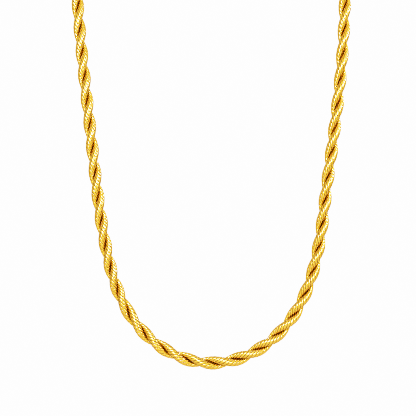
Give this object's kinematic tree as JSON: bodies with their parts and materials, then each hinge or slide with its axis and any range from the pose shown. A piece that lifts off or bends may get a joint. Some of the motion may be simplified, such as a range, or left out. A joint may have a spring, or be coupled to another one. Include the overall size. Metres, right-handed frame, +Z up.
{
  "type": "twisted two-strand gold neck chain",
  "caption": "Neck chain of ribbed gold strands twisted into a rope, with end caps, rings and a closed clasp at the nape, in the form it has when worn.",
  "frame": {"origin": "middle of the clasp's inner side at the nape, where the chain rests on the back of the neck", "axes": "+Z up, -Y towards the front of the wearer, X across the neck, +X on the right of a viewer in front"},
  "size_m": [0.1118, 0.062, 0.1877],
  "materials": {
    "strand_gold": "bright yellow gold finish on fine twisted wire, darker in the grooves",
    "fitting_gold": "polished yellow gold finish"
  },
  "bodies": {
    "root": {"strand_a": "strand_gold", "strand_b": "strand_gold", "end_cap_left": "fitting_gold", "end_cap_right": "fitting_gold", "ring_left": "fitting_gold", "ring_right": "fitting_gold", "clasp": "fitting_gold"}
  },
  "joints": []
}
